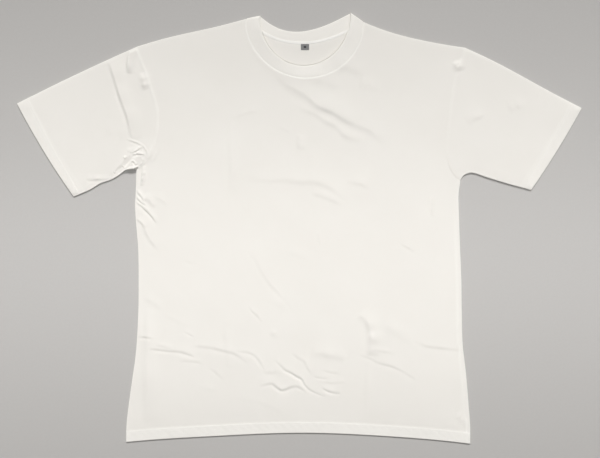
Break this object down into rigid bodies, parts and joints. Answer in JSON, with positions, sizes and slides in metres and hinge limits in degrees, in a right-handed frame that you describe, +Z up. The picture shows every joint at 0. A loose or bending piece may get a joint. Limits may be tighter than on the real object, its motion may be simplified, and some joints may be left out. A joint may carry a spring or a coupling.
{
  "type": "crew neck t-shirt",
  "caption": "Short-sleeved crew neck T-shirt in plain knit cotton, laid flat face up with its sleeves spread, relaxed cut with dropped shoulders.",
  "frame": {"origin": "on the surface it lies on, under the middle of the laid shirt's box", "axes": "+X across the shirt towards the wearer's left sleeve, +Y from the hem towards the collar, +Z up from the surface, out of the shirt's face"},
  "size_m": [0.982, 0.7496, 0.0116],
  "materials": {
    "cotton_jersey": "matte knitted cotton",
    "rib_knit": "matte rib knit",
    "tape": "matte knitted cotton",
    "woven_label": "woven satin"
  },
  "bodies": {
    "root": {"front_panel": "cotton_jersey", "back_panel": "cotton_jersey", "sleeve_right": "cotton_jersey", "sleeve_left": "cotton_jersey", "collar_rib": "rib_knit", "neck_tape": "tape", "neck_label": "woven_label"}
  },
  "joints": []
}
